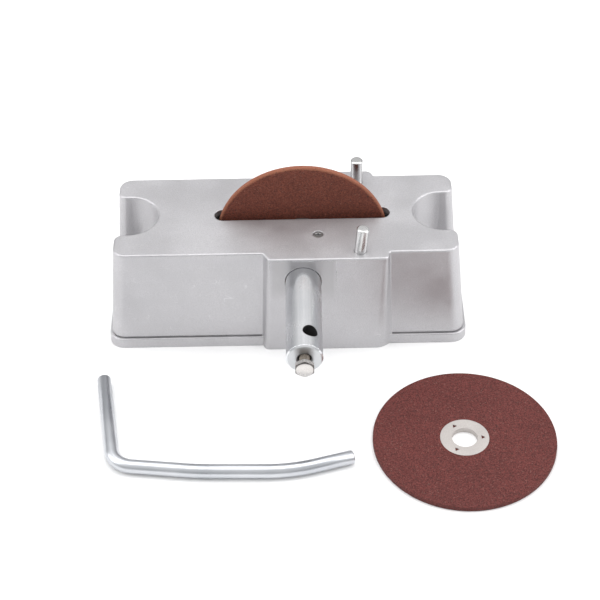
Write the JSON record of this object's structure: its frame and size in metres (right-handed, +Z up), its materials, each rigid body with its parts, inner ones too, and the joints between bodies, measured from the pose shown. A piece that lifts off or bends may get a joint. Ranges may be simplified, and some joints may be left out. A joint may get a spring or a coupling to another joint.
{
  "type": "drill bit sharpener",
  "caption": "Hand-cranked bench grinder for drill bits: slotted cast table, abrasive disc on a spindle, steady pins, crank rod and spare disc.",
  "frame": {"origin": "midway between the two hold-down bolt holes, on the plane that the casting stands on", "axes": "+X along the table, +Y away from the crank side, +Z up through the table"},
  "size_m": [0.2534, 0.2118, 0.0987],
  "materials": {
    "casting": "bead-blasted die casting",
    "bronze": "sintered bronze",
    "zinc_steel": "bright zinc plating",
    "bright_steel": "bright drawn steel",
    "nickel_steel": "nickel plating",
    "ring_steel": "satin stamped steel",
    "abrasive": "resin-bonded abrasive grain"
  },
  "bodies": {
    "casting": {"housing": "casting", "front_bush": "bronze", "rear_bush": "bronze", "retaining_pin": "bright_steel", "retaining_screw": "bright_steel"},
    "spindle": {"spindle": "zinc_steel", "fitted_disc": "abrasive", "fitted_ring_front": "ring_steel", "fitted_ring_rear": "ring_steel", "clamp_washer": "zinc_steel", "spring_washer": "bright_steel", "spindle_nut": "zinc_steel", "thrust_washer": "bright_steel"},
    "clamp_bolt": {"clamp_bolt": "nickel_steel"},
    "front_pin": {"front_pin": "bright_steel"},
    "rear_pin": {"rear_pin": "bright_steel"},
    "crank_rod": {"crank_rod": "zinc_steel"},
    "spare_disc": {"spare_disc": "abrasive", "spare_ring_lower": "ring_steel", "spare_ring_upper": "ring_steel"}
  },
  "joints": [
    {"name": "spindle_spin", "type": "hinge", "parent": "casting", "child": "spindle", "pos_m": [0.0094, 0, 0.0496], "axis": [0, 1, 0], "continuous": true},
    {"name": "clamp_bolt_travel", "type": "slide", "parent": "spindle", "child": "clamp_bolt", "axis": [0, 1, 0], "range_m": [-0.006, 0.0008]},
    {"name": "front_pin_lift", "type": "slide", "parent": "casting", "child": "front_pin", "axis": [0.0872, 0, 0.9962], "range_m": [0, 0.022]},
    {"name": "rear_pin_lift", "type": "slide", "parent": "casting", "child": "rear_pin", "axis": [0, 0, 1], "range_m": [0, 0.022]},
    {"name": "crank_rod_lift", "type": "slide", "parent": "casting", "child": "crank_rod", "axis": [0, 0, 1], "range_m": [0, 0.06]},
    {"name": "spare_disc_lift", "type": "slide", "parent": "casting", "child": "spare_disc", "axis": [0, 0, 1], "range_m": [0, 0.06]}
  ]
}
